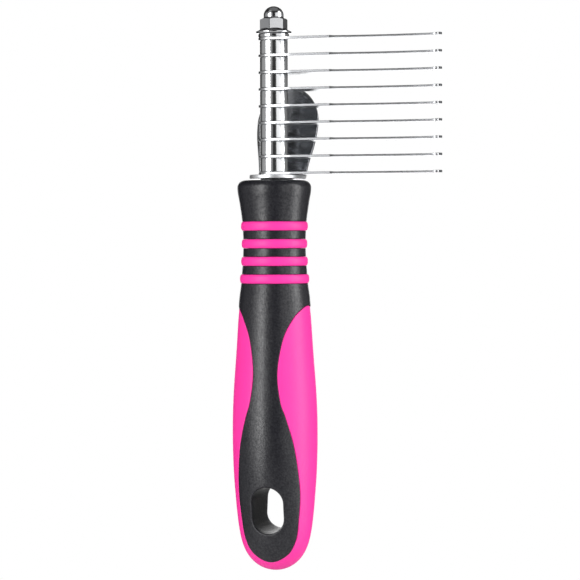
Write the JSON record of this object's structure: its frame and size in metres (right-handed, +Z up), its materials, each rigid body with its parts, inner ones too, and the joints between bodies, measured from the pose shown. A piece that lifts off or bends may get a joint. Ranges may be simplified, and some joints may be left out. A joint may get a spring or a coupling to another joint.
{
  "type": "undercoat rake",
  "caption": "Dog grooming rake: long flat steel blades stacked on a stud with spacers and a cap nut, a bent steel thumb rest, and a soft-grip moulded handle with a hanging slot.",
  "frame": {"origin": "centre of the hanging slot, on the handle's axis", "axes": "+Z up the handle to the blades, +X the way the blades point, -Y the front that the cutting edges face, +Y the back with the thumb rest"},
  "size_m": [0.071, 0.0371, 0.1848],
  "materials": {
    "handle_plastic": "fine moulded grain, soft sheen, bluish black",
    "grip_rubber": "matte hot-pink thermoplastic rubber",
    "blade_steel": "stainless, ground edges",
    "spacer_steel": "polished tube",
    "fastener_steel": "bright plated, fine turning marks",
    "rest_steel": "dark satin sheet with light scratches"
  },
  "bodies": {
    "handle": {"handle_core": "handle_plastic", "grip_overmould": "grip_rubber", "grip_ring_1": "grip_rubber", "grip_ring_2": "grip_rubber", "grip_ring_3": "grip_rubber", "grip_ring_4": "grip_rubber", "stud": "fastener_steel", "thumb_rest": "rest_steel", "spacer_1": "spacer_steel", "spacer_2": "spacer_steel", "spacer_3": "spacer_steel", "spacer_4": "spacer_steel", "spacer_5": "spacer_steel", "spacer_6": "spacer_steel", "spacer_7": "spacer_steel", "spacer_8": "spacer_steel", "top_washer": "fastener_steel"},
    "blade_1": {"blade_1": "blade_steel"},
    "blade_2": {"blade_2": "blade_steel"},
    "blade_3": {"blade_3": "blade_steel"},
    "blade_4": {"blade_4": "blade_steel"},
    "blade_5": {"blade_5": "blade_steel"},
    "blade_6": {"blade_6": "blade_steel"},
    "blade_7": {"blade_7": "blade_steel"},
    "blade_8": {"blade_8": "blade_steel"},
    "blade_9": {"blade_9": "blade_steel"},
    "cap_nut": {"cap_nut": "fastener_steel"}
  },
  "joints": [
    {"name": "blade_1_swing", "type": "hinge", "parent": "handle", "child": "blade_1", "pos_m": [0, 0, 0.15352], "axis": [0, 0, 1], "continuous": true},
    {"name": "blade_2_swing", "type": "hinge", "parent": "handle", "child": "blade_2", "pos_m": [0, 0, 0.14803], "axis": [0, 0, 1], "continuous": true},
    {"name": "blade_3_swing", "type": "hinge", "parent": "handle", "child": "blade_3", "pos_m": [0, 0, 0.14254], "axis": [0, 0, 1], "continuous": true},
    {"name": "blade_4_swing", "type": "hinge", "parent": "handle", "child": "blade_4", "pos_m": [0, 0, 0.13705], "axis": [0, 0, 1], "range_deg": [-235, 57]},
    {"name": "blade_5_swing", "type": "hinge", "parent": "handle", "child": "blade_5", "pos_m": [0, 0, 0.13156], "axis": [0, 0, 1], "range_deg": [-223, 46]},
    {"name": "blade_6_swing", "type": "hinge", "parent": "handle", "child": "blade_6", "pos_m": [0, 0, 0.12607], "axis": [0, 0, 1], "range_deg": [-217, 40]},
    {"name": "blade_7_swing", "type": "hinge", "parent": "handle", "child": "blade_7", "pos_m": [0, 0, 0.12058], "axis": [0, 0, 1], "range_deg": [-213, 36]},
    {"name": "blade_8_swing", "type": "hinge", "parent": "handle", "child": "blade_8", "pos_m": [0, 0, 0.11509], "axis": [0, 0, 1], "range_deg": [-210, 32]},
    {"name": "blade_9_swing", "type": "hinge", "parent": "handle", "child": "blade_9", "pos_m": [0, 0, 0.1096], "axis": [0, 0, 1], "range_deg": [-202, 24]},
    {"name": "cap_nut_turn", "type": "hinge", "parent": "handle", "child": "cap_nut", "pos_m": [0, 0, 0.15832], "axis": [0, 0, 1], "continuous": true}
  ]
}
